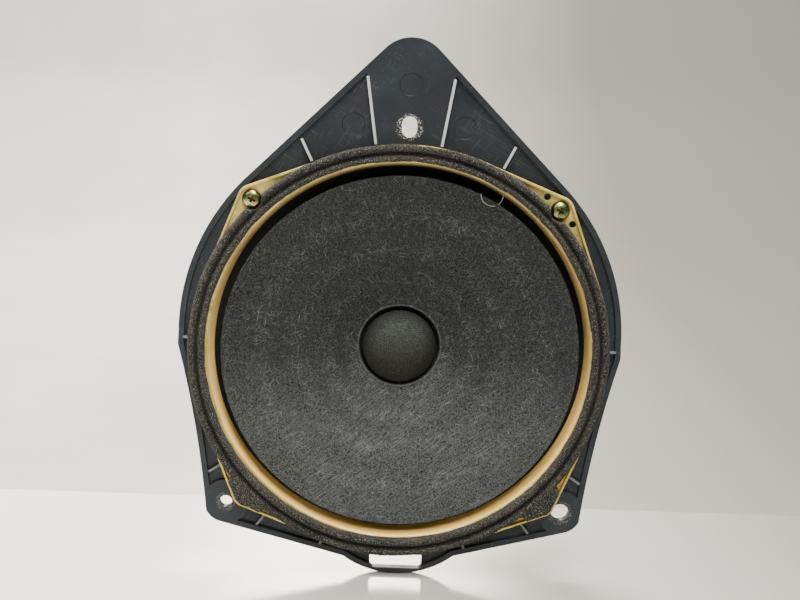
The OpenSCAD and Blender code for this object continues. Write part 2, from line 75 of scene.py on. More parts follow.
# %% Camera
CAMERA_AT, LENS = (-0.0131, -0.5173, 0.1244), 59.64
HEADING, TILT, ROLL = -1.362, 78.718, 2.449
bpy.ops.object.select_all(action="DESELECT")
bpy.ops.object.camera_add(location=CAMERA_AT)
camera = bpy.context.object
camera.name = "camera"
camera.data.lens = LENS
turns = [Matrix.Rotation(math.radians(angle), 3, axis)
         for angle, axis in ((HEADING, "Z"), (TILT, "X"), (ROLL, "Z"))]
camera.rotation_euler = (turns[0] @ turns[1] @ turns[2]).to_euler()
bpy.context.scene.camera = camera
print("camera looks down by", round(90 - TILT, 1), "degrees")

# %% [markdown]
# ## Small helpers
# Colours are written as sRGB hex, as a paint chart gives them, and the shader wants linear values.
# One function adds a node with its settings and links. Pattern sizes are real sizes in
# millimetres: Object coordinates are in metres, so a scale is a thousand over the size. A Map Range
# node turns a value into a mask, and its list is the value, where it starts and ends, and what it
# becomes there.

# %% Colour and node helpers
def colour(hex_code):
    """An sRGB hex colour as the linear values that a shader wants."""
    parts = [int(hex_code[i:i + 2], 16) / 255 for i in (1, 3, 5)]
    return [p / 12.92 if p <= 0.04045 else ((p + 0.055) / 1.055) ** 2.4 for p in parts] + [1]


def per_mm(size):
    """The texture scale at which one cell of a pattern is this many millimetres across."""
    return 1000 / size


def ripple(size):
    """The Wave texture's scale at which its bands are this many millimetres apart."""
    return per_mm(size) * math.pi / 10


def node(tree, kind, inputs=(), output=0, **settings):
    """Adds a shader node with its settings and links, and returns one of its outputs.

    inputs has a value, a hex colour or another node's output for each socket: a list has them in
    the sockets' order, and a dictionary names or numbers the sockets.
    """
    made = tree.nodes.new("ShaderNode" + kind)
    for name, value in settings.items():
        setattr(made, name, value)
    for socket, value in (inputs.items() if isinstance(inputs, dict) else enumerate(inputs)):
        if isinstance(value, bpy.types.NodeSocket):
            tree.links.new(value, made.inputs[socket])
        else:
            made.inputs[socket].default_value = colour(value) if isinstance(value, str) else value
    return made.outputs[output]


def material(name, **values):
    """A new material with its shader's plain values set, and the parts that patterns need."""
    made = bpy.data.materials.new(name)
    made.use_nodes = True
    tree = made.node_tree
    shader = tree.nodes["Principled BSDF"]
    for socket, value in values.items():
        shader.inputs[socket.replace("_", " ")].default_value = value
    place = node(tree, "TexCoord", output="Object")
    print("material", name)
    return made, tree, shader, place


def use(tree, shader, **outputs):
    """Links outputs to the shader's sockets."""
    for socket, output in outputs.items():
        tree.links.new(output, shader.inputs[socket.replace("_", " ")])


# %% [markdown]
# ## Pattern helpers
# Most finishes are built from a few patterns: clouds, thin lines, a weave, and rings about a middle.
# Each pattern gives a mask from 0 to 1. A colour is then built as a painter does, one coat over
# another, each showing where its mask is 1.

# %% Patterns and coats
def cloudy(tree, place, size, low, high, to=(0, 1), detail=2, roughness=0.5):
    """Cloudy patches about size mm across: noise, with its values from low to high stretched."""
    cloud = node(tree, "TexNoise", {"Vector": place, "Scale": per_mm(size), "Detail": detail,
                                    "Roughness": roughness})
    return node(tree, "MapRange", [cloud, low, high, *to])


def strands(tree, place, angle, width, length, low, high):
    """Thin lines lying one way in the front view: noise stretched along the angle, cut to its ridges.

    width and length are in mm. Each angle reads its own place in the noise, so no layer repeats.
    """
    lying = node(tree, "Mapping", {"Vector": place, "Location": (angle * MM, 0, 2 * angle * MM),
                                   "Rotation": (0, math.radians(angle), 0),
                                   "Scale": (width * MM, 4 * MM, length * MM)}, vector_type="TEXTURE")
    line = node(tree, "TexNoise", {"Vector": lying, "Scale": 1.0, "Detail": 0.0, "Distortion": 0.05})
    return node(tree, "MapRange", [line, low, high])


def woven(tree, place, spacing, wander=0.0):
    """A plain weave in the front view, its threads spacing mm apart: 1 on a thread, 0 in a gap."""
    warp, weft = (node(tree, "TexWave", {"Vector": place, "Scale": ripple(spacing), "Distortion": wander},
                       output="Fac", bands_direction=way) for way in "XZ")
    return node(tree, "Math", [warp, weft], operation="MULTIPLY")


def off_axis(tree, place, middle=(0, 0, 0)):
    """Distance in the front view from the speaker's axis, or from another middle given in mm."""
    flat = node(tree, "VectorMath", [place, (1, 0, 1)], operation="MULTIPLY")
    return node(tree, "VectorMath", [flat, [v * MM for v in middle]], output="Value",
                operation="DISTANCE")


def coats(tree, under, *layers):
    """Lays colours over one another. A layer is a mask, its colour and, if not all, its share."""
    for mask, over, *share in layers:
        if share:
            mask = node(tree, "Math", [mask, share[0]], operation="MULTIPLY")
        # Mix's sockets share their names, so these are numbers: its factor, colour A and colour B.
        under = node(tree, "Mix", {0: mask, 6: under, 7: over}, output=2, data_type="RGBA")
    return under


# %% [markdown]
# ## Studio
# A pale floor runs under the speaker and sweeps up far behind it. The part behind the speaker is a
# tone darker, as a wall would be. Three soft lights hang above: one over the speaker, one in front
# that looks down into the dish, and one behind for the floor there. A weak cool light fills in from
# the upper left.

# %% Floor
FLOOR_Z = cad_low.z
FLOOR_SIZE, SWEEP_Y, SWEEP_HIGH, SWEEP_BEND = 14, 1.4, 5, 0.8
bpy.ops.object.select_all(action="DESELECT")
bpy.ops.mesh.primitive_plane_add(size=FLOOR_SIZE, location=(0, SWEEP_Y - FLOOR_SIZE / 2, FLOOR_Z))
floor = bpy.context.object
floor.name = "floor"
bpy.ops.object.transform_apply(location=True, rotation=True, scale=True)
bpy.ops.object.mode_set(mode="EDIT")
bpy.ops.mesh.select_all(action="DESELECT")
bpy.ops.object.mode_set(mode="OBJECT")
for edge in floor.data.edges:
    edge.select = all(floor.data.vertices[i].co.y > SWEEP_Y - 0.1 for i in edge.vertices)
bpy.ops.object.mode_set(mode="EDIT")
bpy.ops.mesh.select_mode(type="EDGE")
bpy.ops.mesh.extrude_region_move(TRANSFORM_OT_translate={"value": (0, 0, SWEEP_HIGH)})
bpy.ops.object.mode_set(mode="OBJECT")
for edge in floor.data.edges:
    ends = [floor.data.vertices[i].co for i in edge.vertices]
    edge.select = all(end.y > SWEEP_Y - 0.1 and end.z < 0 for end in ends)
bpy.ops.object.mode_set(mode="EDIT")
bpy.ops.mesh.bevel(offset=SWEEP_BEND, segments=16, affect="EDGES")
bpy.ops.object.mode_set(mode="OBJECT")
bpy.ops.object.shade_smooth()
print("floor at", round(FLOOR_Z / MM, 1), "mm")

# %% Floor paint
# The board is sprayed a tone darker behind the line, and painted shade darkens it towards the right.
# A share of metal in its satin varnish mirrors the speaker faintly where it stands.
paint, tree, shader, place = material("painted_board_satin", Roughness=0.16)
TONE_LINE_Y = 81
backward = node(tree, "SeparateXYZ", [place], output="Y")
behind = node(tree, "MapRange", [backward, (TONE_LINE_Y - 0.5) * MM, (TONE_LINE_Y + 0.5) * MM])
# Painted shade: the board darkens towards the right, where less light falls.
painted_shade_rightward = node(tree, "SeparateXYZ", [place], output="X")
painted_shade_rightward = node(tree, "MapRange", [painted_shade_rightward, -200 * MM, 250 * MM])
cloud = node(tree, "TexNoise", {"Vector": place, "Scale": per_mm(60), "Detail": 4})
front_tone = coats(tree, "#fffef9", (painted_shade_rightward, "#7b7974"))
rear_tone = coats(tree, "#dddbd5", (painted_shade_rightward, "#8a8883"))
tone = coats(tree, front_tone,
             (behind, rear_tone),
             (node(tree, "MapRange", [cloud, 0.3, 0.7, 0, 0.12]), "#8a8880"))
use(tree, shader, Base_Color=tone, Metallic=node(tree, "MapRange", [behind, 0, 1, 0.5, 0.6]),
    Normal=node(tree, "Bump", {"Height": node(tree, "TexNoise", {"Vector": place, "Scale": per_mm(0.8)}),
                               "Distance": 0.02 * MM}))
floor.data.materials.append(paint)

# %% Lights
# Each light has its place, the point it faces, its width in metres, its watts and its tint.
LIGHTS = [("key_light", (0.05, -0.36, 1.3), (0.0, 0.0, 0.0), 0.6, 46, "#fffaf2"),
          ("front_light", (0.22, -0.98, 1.08), (0.0, 0.0, 0.0), 0.45, 23, "#fffaf2"),
          ("rear_light", (-0.05, 0.45, 1.5), (0.0, 0.5, 0.0), 0.6, 125, "#fffaf2"),
          ("fill_light", (-1.3, -1.5, 1.5), (0.0, 0.0, 0.0), 0.9, 12, "#f4f7ff")]
for name, where, target, size, power, tint in LIGHTS:
    bpy.ops.object.light_add(type="AREA", location=where)
    lamp = bpy.context.object
    lamp.name = name
    lamp.data.size = size
    lamp.data.energy = power
    lamp.data.color = colour(tint)[:3]
    lamp.rotation_euler = (Vector(target) - Vector(where)).to_track_quat("-Z", "Y").to_euler()
world = bpy.data.worlds.new("studio_air")
world.use_nodes = True
air = world.node_tree.nodes["Background"]
air.inputs["Color"].default_value = colour("#dfe1e2")
air.inputs["Strength"].default_value = 0.1
bpy.context.scene.world = world
print(len(LIGHTS), "lights")

# %% [markdown]
# ## Shaping helpers
# Most of a speaker is turned: a half section is drawn once and spun round the axis. The section is
# drawn as by hand, from a primitive merged to one point that is extruded from corner to corner.

# %% Turned pieces
def arc(r, y, radius, start, end, steps):
    """Points of (radius, depth) on an arc about (r, y), with angles in degrees."""
    return [(r + radius * math.cos(math.radians(start + (end - start) * i / steps)),
             y + radius * math.sin(math.radians(start + (end - start) * i / steps)))
            for i in range(steps + 1)]


def section(name, points):
    """A line of edges through points of (radius, depth) in mm, in edit mode with all selected."""
    bpy.ops.object.select_all(action="DESELECT")
    bpy.ops.mesh.primitive_plane_add(size=MM)
    obj = bpy.context.object
    obj.name = obj.data.name = name
    bpy.ops.object.mode_set(mode="EDIT")
    bpy.ops.mesh.select_mode(type="VERT")
    bpy.ops.mesh.select_all(action="SELECT")
    bpy.ops.mesh.merge(type="CENTER")
    bpy.ops.transform.translate(value=(points[0][0] * MM, points[0][1] * MM, 0))
    for (r0, y0), (r1, y1) in zip(points, points[1:]):
        step = ((r1 - r0) * MM, (y1 - y0) * MM, 0)
        bpy.ops.mesh.extrude_region_move(TRANSFORM_OT_translate={"value": step})
    bpy.ops.mesh.select_all(action="SELECT")
    return obj


def turned(name, points, steps):
    """Spins a half section round the speaker's axis into a closed skin with outward normals."""
    obj = section(name, points)
    bpy.ops.mesh.spin(steps=steps, angle=2 * math.pi, center=(0, 0, 0), axis=(0, 1, 0))
    bpy.ops.mesh.select_all(action="SELECT")
    bpy.ops.mesh.remove_doubles(threshold=2e-6)
    bpy.ops.mesh.normals_make_consistent(inside=False)
    bpy.ops.object.mode_set(mode="OBJECT")
    return obj


def modify(obj, kind, **settings):
    """Adds a modifier and applies it."""
    bpy.ops.object.select_all(action="DESELECT")
    obj.select_set(True)
    bpy.context.view_layer.objects.active = obj
    made = obj.modifiers.new(kind.lower(), kind)
    for name, value in settings.items():
        setattr(made, name, value)
    bpy.ops.object.modifier_apply(modifier=made.name)
    return obj


def smooth(obj, angle):
    """Smooth shading that keeps edges sharper than the angle in degrees."""
    bpy.ops.object.select_all(action="DESELECT")
    obj.select_set(True)
    bpy.context.view_layer.objects.active = obj
    bpy.ops.object.shade_smooth_by_angle(angle=math.radians(angle))
    print(obj.name, "has", len(obj.data.polygons), "faces")
    return obj


def finish_piece(obj, body, slot, paint, *nodes):
    """Puts a piece on its body, in place of CAD nodes, with its material."""
    obj.data.materials.clear()
    obj.data.materials.append(paint)
    if body:
        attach(obj, body)
    if nodes:
        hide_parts(*nodes)
    print(obj.name, "is", paint.name, "on", body or "both bodies")


def merged_copy(source, name):
    """A copy of a CAD node whose loose triangles are merged into one skin with large flat faces."""
    bpy.ops.object.select_all(action="DESELECT")
    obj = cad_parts[source].copy()
    obj.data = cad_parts[source].data.copy()
    obj.name = obj.data.name = name
    obj.parent = None
    bpy.context.scene.collection.objects.link(obj)
    bpy.context.view_layer.objects.active = obj
    obj.select_set(True)
    bpy.ops.object.mode_set(mode="EDIT")
    bpy.ops.mesh.select_all(action="SELECT")
    bpy.ops.mesh.remove_doubles(threshold=5e-6)
    bpy.ops.mesh.dissolve_limited(angle_limit=math.radians(0.6))
    bpy.ops.object.mode_set(mode="OBJECT")
    # The copy is a new piece, so it drops the tags that make its source a CAD node.
    for key in list(obj.keys()):
        del obj[key]
    return obj


# %% [markdown]
# ## Mounting baffle
# The baffle is injection-moulded polypropylene, black, with a satin grain. Moulded edges are never
# knife sharp, so the CAD skin gets a small bevel that catches the light. The rib tops carry a painted
# highlight, and the three fixing holes are scraped where fasteners turned and ringed with painted shade.

# %% Baffle skin
baffle = merged_copy("mounting_baffle", "baffle_moulding")
modify(baffle, "BEVEL", width=0.22 * MM, segments=2, limit_method="ANGLE", angle_limit=math.radians(35),
       use_clamp_overlap=False, miter_outer="MITER_ARC")
smooth(baffle, 30)
modify(baffle, "WEIGHTED_NORMAL", keep_sharp=True)

# %% Black polypropylene
# Polypropylene has an IOR near 1.49. Its fine moulded grain spreads the highlight, and dust in the
# grain shows as faint pale specks. The grain is drawn 0.35 mm across, about twice its real size,
# so that it shows.
plastic, tree, shader, place = material("polypropylene_black_moulded", IOR=1.49, Specular_IOR_Level=0.25)
depth = node(tree, "SeparateXYZ", [place], output="Y")
height = node(tree, "SeparateXYZ", [place], output="Z")
grain = node(tree, "TexNoise", {"Vector": place, "Scale": per_mm(0.35)})
cloud = node(tree, "TexNoise", {"Vector": place, "Scale": per_mm(14), "Detail": 4, "Roughness": 0.6})
dust = node(tree, "Math", [cloudy(tree, place, 0.5, 0.62, 0.74, detail=3, roughness=0.8),
                           node(tree, "MapRange", [cloud, 0.45, 0.7])], operation="MULTIPLY")
scuffs = node(tree, "Math", [strands(tree, place, 33, 0.14, 5, 0.77, 0.82),
                             strands(tree, place, 118, 0.14, 7, 0.77, 0.82)], operation="MAXIMUM")
tone = coats(tree, "#15191d", (cloud, "#1e2429"), (dust, "#8d8f8e", 0.4), (scuffs, "#9a9d9e", 0.14))

# %% Painted rib highlights and scraped holes
# A rib's top stands in front of the rim, so a mask on the depth finds it. Rings about the holes are
# masks on the distance from each hole's middle, broken up by noise. The dark ring is painted shade,
# strongest at the top hole, where it stands for the shadow in a counterbore, and pale scraped flecks
# lie over it. Each hole has its middle and its ring's radius in mm, and how strong its ring is.
RIB_TOP_Y, SCRAPED_Y = -3.81, -2.0
# Painted highlight on the rib tops, stronger higher up, where the light falls on them.
rib_top_highlight = node(tree, "MapRange", [depth, (RIB_TOP_Y - 0.04) * MM, (RIB_TOP_Y + 0.04) * MM, 1, 0])
painted_light_above = node(tree, "MapRange", [height, 0, 80 * MM, 0.16, 0.62])
rib_top_highlight = node(tree, "Math", [rib_top_highlight, painted_light_above], operation="MULTIPLY")
tone = coats(tree, tone, (rib_top_highlight, "#bfc4c7"))
HOLES = [((0, 0, 89.9), 5.3, 0.9), ((-68.2, 0, -64.3), 4.2, 0.3), ((68.2, 0, -64.3), 5.2, 0.3)]
ragged = node(tree, "TexNoise", {"Vector": place, "Scale": per_mm(0.9), "Detail": 3, "Roughness": 0.7})
wander = node(tree, "MapRange", [ragged, 0.3, 0.7, -0.7 * MM, 0.7 * MM])
in_front = node(tree, "MapRange", [depth, (SCRAPED_Y - 0.1) * MM, (SCRAPED_Y + 0.1) * MM, 1, 0])
scraped_and_shaded_ring = None
for middle, outer, share in HOLES:
    away = node(tree, "Math", [off_axis(tree, place, middle), wander], operation="ADD")
    ring = node(tree, "MapRange", [away, (outer - 0.5) * MM, outer * MM, share, 0])
    ring = node(tree, "Math", [ring, in_front], operation="MULTIPLY")
    scraped_and_shaded_ring = ring if scraped_and_shaded_ring is None else node(tree, "Math", [scraped_and_shaded_ring, ring], operation="MAXIMUM")
flecks = node(tree, "Math", [scraped_and_shaded_ring, cloudy(tree, place, 0.5, 0.48, 0.6)], operation="MULTIPLY")
# The dark coat is painted shade round the holes; the pale flecks are scraped plastic.
tone = coats(tree, tone, (scraped_and_shaded_ring, "#0c0d0e", 0.8), (flecks, "#a9aba8", 0.6))
grain = node(tree, "Math", [grain, 0.12], operation="MULTIPLY")
torn = node(tree, "Math", [scraped_and_shaded_ring, ragged], operation="MULTIPLY")
relief = node(tree, "Math", [grain, torn], operation="ADD")
gloss = node(tree, "MapRange", [cloud, 0.3, 0.7, 0.4, 0.5])
dulled = node(tree, "Math", [scraped_and_shaded_ring, 0.25], operation="MULTIPLY")
gloss = node(tree, "Math", [gloss, dulled], operation="ADD")
use(tree, shader, Base_Color=tone, Roughness=gloss,
    Normal=node(tree, "Bump", {"Height": relief, "Distance": 0.12 * MM}))
finish_piece(baffle, "speaker", "black_plastic", plastic, "mounting_baffle")

# %% [markdown]
# ## Pressed frame
# The frame is drawn from one steel sheet and plated with zinc, then dipped in yellow chromate. The
# coat is a thin film, so its gold shifts towards green and pink from place to place.

# %% Frame skin
pressing = merged_copy("basket", "frame_pressing")
modify(pressing, "BEVEL", width=0.16 * MM, segments=2, limit_method="ANGLE", angle_limit=math.radians(38),
       use_clamp_overlap=False)
smooth(pressing, 42)
modify(pressing, "WEIGHTED_NORMAL", keep_sharp=True)

# %% Yellow zinc
# A metal keeps the default IOR. The pressed sheet is satin, with faint lines round the well where
# the tool drew it, about 0.3 mm apart and drawn at 1.9 mm so that they show. The sloping wall was
# stretched most, and its film is thick and matt. Painted light colours it bright gold low down, where
# it faces up to the lamps, and dull brown at the top, which faces down. A black smear of glue lines
# the foot of the wall, painted dark enough to stand for the shade under the cone's edge as well.
WELL_R, WALL_FOOT_R, GLUE_R = 76.45, 72.4, 74.5
GLUE_FROM_Y, GLUE_TO_Y = 0.85, 3.3
zinc, tree, shader, place = material("steel_pressed_zinc_yellow_chromate", Specular_IOR_Level=0.2)
film = node(tree, "TexNoise", {"Vector": place, "Scale": per_mm(26), "Detail": 3, "Roughness": 0.6})
cloud = node(tree, "TexNoise", {"Vector": place, "Scale": per_mm(7), "Detail": 4, "Roughness": 0.6})
grain = node(tree, "TexNoise", {"Vector": place, "Scale": per_mm(0.4)})
tone = coats(tree, "#b39a55",
             (node(tree, "MapRange", [film, 0.4, 0.62]), "#dcc07a"),
             (node(tree, "MapRange", [cloud, 0.46, 0.64]), "#97994a"),
             (cloudy(tree, place, 18, 0.56, 0.7, to=(0, 0.6), detail=3), "#c98d63"),
             (cloudy(tree, place, 0.9, 0.62, 0.75, to=(0, 0.5), detail=3, roughness=0.8), "#6e5c3a"))
drawn = node(tree, "TexWave", {"Vector": place, "Scale": ripple(1.9), "Distortion": 1.5, "Detail": 2},
             output="Fac", wave_type="RINGS", rings_direction="Y")
away = off_axis(tree, place)
depth = node(tree, "SeparateXYZ", [place], output="Y")
inside_well = node(tree, "MapRange", [away, (WELL_R + 0.15) * MM, (WELL_R - 0.15) * MM])
past_foot = node(tree, "MapRange", [away, (WALL_FOOT_R - 0.2) * MM, (WALL_FOOT_R + 0.2) * MM])
wall = node(tree, "Math", [inside_well, past_foot], operation="MULTIPLY")
# Painted light: the wall is brighter towards the bottom, which faces up, and browner at the top.
lower = node(tree, "MapRange", [node(tree, "SeparateXYZ", [place], output="Z"), 70 * MM, -55 * MM])
wall_tone_painted_light = coats(tree, "#a38d60", (lower, "#ffd072"))
# The black band at the wall's foot is glue and also painted shade for the gap under the cone's edge.
glue_behind = node(tree, "MapRange", [depth, (GLUE_FROM_Y - 0.25) * MM, (GLUE_FROM_Y + 0.25) * MM])
glue_inside = node(tree, "MapRange", [away, (GLUE_R + 0.15) * MM, (GLUE_R - 0.15) * MM])
glue_before = node(tree, "MapRange", [depth, (GLUE_TO_Y + 0.1) * MM, (GLUE_TO_Y - 0.1) * MM])
glue_and_painted_shade = node(tree, "Math", [glue_behind, glue_inside], operation="MULTIPLY")
glue_and_painted_shade = node(tree, "Math", [glue_and_painted_shade, glue_before], operation="MULTIPLY")
tone = coats(tree, tone, (wall, wall_tone_painted_light, 0.85), (glue_and_painted_shade, "#080807"))
satin = node(tree, "MapRange", [cloud, 0.3, 0.7, 0.48, 0.6])
matt = node(tree, "Math", [wall, 0.9], operation="MULTIPLY")
satin = node(tree, "Math", [satin, matt], operation="MAXIMUM")
drawn = node(tree, "Math", [drawn, 0.25], operation="MULTIPLY")
relief = node(tree, "Math", [drawn, grain], operation="ADD")
use(tree, shader, Base_Color=tone, Roughness=satin,
    Metallic=node(tree, "MapRange", [wall, 0, 1, 0.7, 0.0]),
    Normal=node(tree, "Bump", {"Height": relief, "Distance": 0.012 * MM}))
finish_piece(pressing, "speaker", "zinc_steel", zinc, "basket")

# %% [markdown]
# ## Foam gasket
# A ring of open-cell foam seals the speaker to the door trim. It has two ridges with a groove
# between them and is ragged up close. The CAD ring is cut into small even cells by a voxel remesh,
# softened, and then pushed in and out by two clouds: a slow one for its uneven hand-laid edge and
# a fine one for its open cells.

# %% Foam ring
def cloud_texture(name, size):
    """A cloud pattern for a Displace modifier, with patches of size mm."""
    made = bpy.data.textures.new(name, "CLOUDS")
    made.noise_scale = size * MM
    return made


VOXEL = 0.55
foam = merged_copy("front_gasket", "foam_ring")
modify(foam, "REMESH", mode="VOXEL", voxel_size=VOXEL * MM)
modify(foam, "SMOOTH", factor=0.5, iterations=2)
modify(foam, "DISPLACE", texture=cloud_texture("slow_wander", 9), strength=0.9 * MM, mid_level=0.5)
modify(foam, "DISPLACE", texture=cloud_texture("open_cells", 0.9), strength=0.5 * MM, mid_level=0.5)
smooth(foam, 180)

# %% Foam surface
# Polyurethane foam has no gloss. Broken cell walls catch light as pale specks and the open cells
# are black. They are about 0.4 mm apart and are drawn at 0.75 mm so that they show. Handling has
# left brown dirt in places, and painted shade darkens the groove. The ring lies a little to the left.
GROOVE_R, RING_ASIDE = 80.1, -0.5
foam_paint, tree, shader, place = material("polyurethane_foam_open_cell", Roughness=0.95,
                                           Specular_IOR_Level=0.05, Sheen_Weight=0.05, Sheen_Roughness=0.6)
cells = node(tree, "TexVoronoi", {"Vector": place, "Scale": per_mm(0.75)})
specks = node(tree, "TexNoise", {"Vector": place, "Scale": per_mm(0.38), "Detail": 3, "Roughness": 0.7})
dirt = node(tree, "TexNoise", {"Vector": place, "Scale": per_mm(16), "Detail": 3, "Roughness": 0.6})
tone = coats(tree, "#1b1b1a",
             (node(tree, "MapRange", [dirt, 0.42, 0.62]), "#26241f"),
             (node(tree, "MapRange", [cells, 0.15, 0.5, 0.75, 0]), "#070706"),
             (node(tree, "MapRange", [specks, 0.54, 0.68, 0, 0.9]), "#7c7c71"))
# Painted shade in the groove between the two ridges.
from_middle = off_axis(tree, place, (RING_ASIDE, 0, 0))
off_groove = node(tree, "Math", [from_middle, GROOVE_R * MM], operation="SUBTRACT")
off_groove = node(tree, "Math", [off_groove], operation="ABSOLUTE")
tone = coats(tree, tone, (node(tree, "MapRange", [off_groove, 0.4 * MM, 1.3 * MM, 0.8, 0]), "#060606"))
specks = node(tree, "Math", [specks, 0.8], operation="MULTIPLY")
relief = node(tree, "Math", [cells, specks], operation="ADD")
use(tree, shader, Base_Color=tone, Normal=node(tree, "Bump", {"Height": relief, "Distance": 0.35 * MM}))
finish_piece(foam, "speaker", "gasket_foam", foam_paint, "front_gasket")

# %% [markdown]
# ## Screws
# Four pan-head screws with cross recesses hold the frame. One is turned, its recess is cut with two
# tapered blades, and it is copied to each ear.

# %% One screw
EAR_R = 84.85
BLADE, BLADE_TAPER, BLADE_Y, RECESS_ANGLE = (4.3, 2.4, 0.95), (0.45, 1, 0.75), -6.6, 20
head = [(0, -7.1), (1.2, -7.08), (2.2, -6.93), (3.0, -6.6), (3.5, -6.1), (3.76, -5.5), (3.8, -5.0),
        (3.78, -4.7), (3.68, -4.62), (1.9, -4.62), (1.9, 3.6), (0.6, 5.0), (0, 5.0)]
screw = turned("pan_head_screws", head, 64)
for angle in (RECESS_ANGLE, RECESS_ANGLE + 90):
    bpy.ops.object.select_all(action="DESELECT")
    bpy.ops.mesh.primitive_cube_add(size=1)
    blade = bpy.context.object
    blade.name = "recess_blade"
    bpy.ops.object.mode_set(mode="EDIT")
    bpy.ops.mesh.select_all(action="SELECT")
    bpy.ops.transform.resize(value=[side * MM for side in BLADE])
    bpy.ops.mesh.select_all(action="DESELECT")
    bpy.ops.object.mode_set(mode="OBJECT")
    for vertex in blade.data.vertices:
        vertex.select = vertex.co.y > 0
    bpy.ops.object.mode_set(mode="EDIT")
    bpy.ops.transform.resize(value=BLADE_TAPER, center_override=(0, 0, 0))
    bpy.ops.mesh.select_all(action="SELECT")
    bpy.ops.transform.translate(value=(0, BLADE_Y * MM, 0))
    bpy.ops.transform.rotate(value=math.radians(angle), orient_axis="Y", center_override=(0, 0, 0))
    bpy.ops.object.mode_set(mode="OBJECT")
    modify(screw, "BOOLEAN", operation="DIFFERENCE", object=blade, solver="EXACT")
    bpy.data.objects.remove(blade)
modify(screw, "BEVEL", width=0.06 * MM, segments=1, limit_method="ANGLE", angle_limit=math.radians(50))

# %% Copies at the ears
copies = []
for angle in (45, 135, 225, 315):
    copy = screw.copy()
    copy.data = screw.data.copy()
    bpy.context.scene.collection.objects.link(copy)
    place_at = Matrix.Rotation(math.radians(-angle), 4, "Y") @ Matrix.Translation((EAR_R * MM, 0, 0))
    copy.data.transform(place_at)
    copies.append(copy)
bpy.data.objects.remove(screw)
bpy.ops.object.select_all(action="DESELECT")
for copy in copies:
    copy.select_set(True)
bpy.context.view_layer.objects.active = copies[0]
bpy.ops.object.join()
screws = copies[0]
screws.name = screws.data.name = "pan_head_screws"
smooth(screws, 40)

# %% Screw plating
# The screws are plated like the frame, but thicker and brighter, so the film turns greener. The
# head turns dark red-brown further back from its crown, in its recesses and round its side.
screw_zinc, tree, shader, place = material("steel_screw_zinc_green_film", Metallic=1.0)
film = node(tree, "TexNoise", {"Vector": place, "Scale": per_mm(3.2), "Roughness": 0.6})
tone = coats(tree, "#a89f6c",
             (node(tree, "MapRange", [film, 0.4, 0.6]), "#5f8052"),
             (cloudy(tree, place, 2.4, 0.54, 0.66, to=(0, 0.7)), "#8f5a48"))
depth = node(tree, "SeparateXYZ", [place], output="Y")
tone = coats(tree, tone, (node(tree, "MapRange", [depth, -6.7 * MM, -5.9 * MM, 0, 0.9]), "#46281a"))
use(tree, shader, Base_Color=tone, Roughness=cloudy(tree, place, 0.8, 0.3, 0.7, to=(0.2, 0.4), detail=3),
    Normal=node(tree, "Bump", {"Height": node(tree, "TexNoise", {"Vector": place, "Scale": per_mm(0.35)}),
                               "Distance": 0.01 * MM}))
finish_piece(screws, "speaker", "screw_zinc", screw_zinc, "frame_screws")

# %% [markdown]
# ## Cone
# The cone is pressed paper pulp, dark grey, with pale fibres lying every way in it. Its wall bows
# forward and turns in to the coil former at the neck, where a small bead catches a line of light.

# %% Cone section
CONE_R, NECK_R, CONE_Y, NECK_Y, BOW, PAPER = 71.3, 17.0, -5.0, 11.0, 1.8, 0.7
FORMER_R, HOLE_R, WALL_FROM = 13.25, 13.3, 17.9
BEAD_IN, BEAD_OUT = 16.4, 17.4
chord = math.hypot(CONE_R - NECK_R, NECK_Y - CONE_Y)
wall_curve = chord ** 2 / (8 * BOW) + BOW / 2
wall_r = (CONE_R + NECK_R) / 2 + (NECK_Y - CONE_Y) / chord * (wall_curve - BOW)
wall_y = (CONE_Y + NECK_Y) / 2 + (CONE_R - NECK_R) / chord * (wall_curve - BOW)


def wall_depth(r, inset):
    """Depth of the cone's curved wall at radius r, inset mm behind its front face."""
    return wall_y - math.sqrt((wall_curve - inset) ** 2 - (r - wall_r) ** 2)


radii = [WALL_FROM + (CONE_R - 0.5 - WALL_FROM) * i / 36 for i in range(37)]
front = [(r, wall_depth(r, 0)) for r in radii]
back = [(r, wall_depth(r, PAPER)) for r in reversed(radii)]
edge = [(CONE_R - out, wall_depth(CONE_R - out, deep))
        for out, deep in ((0.2, 0.03), (0.03, 0.16), (0.0, 0.38), (0.1, 0.6), (0.3, 0.68))]
bead = [(BEAD_IN, 11.3), (16.55, 10.85), (16.8, 10.62), (17.1, 10.55), (BEAD_OUT, 10.62), (17.6, 10.78)]
neck = [(HOLE_R, 13.5), (14.9, 13.5), (15.3, 13.3), (15.7, 12.6), (16.1, 11.75)]
neck_back = [(17.2, 11.6), (16.6, 12.3), (15.6, 14.0), (15.3, 14.18), (HOLE_R, 14.2), (HOLE_R, 13.5)]
cone = turned("paper_cone", neck + bead + front + edge + back + neck_back, 240)
modify(cone, "DISPLACE", texture=cloud_texture("pulp_wave", 12), strength=0.08 * MM, mid_level=0.5)
smooth(cone, 60)

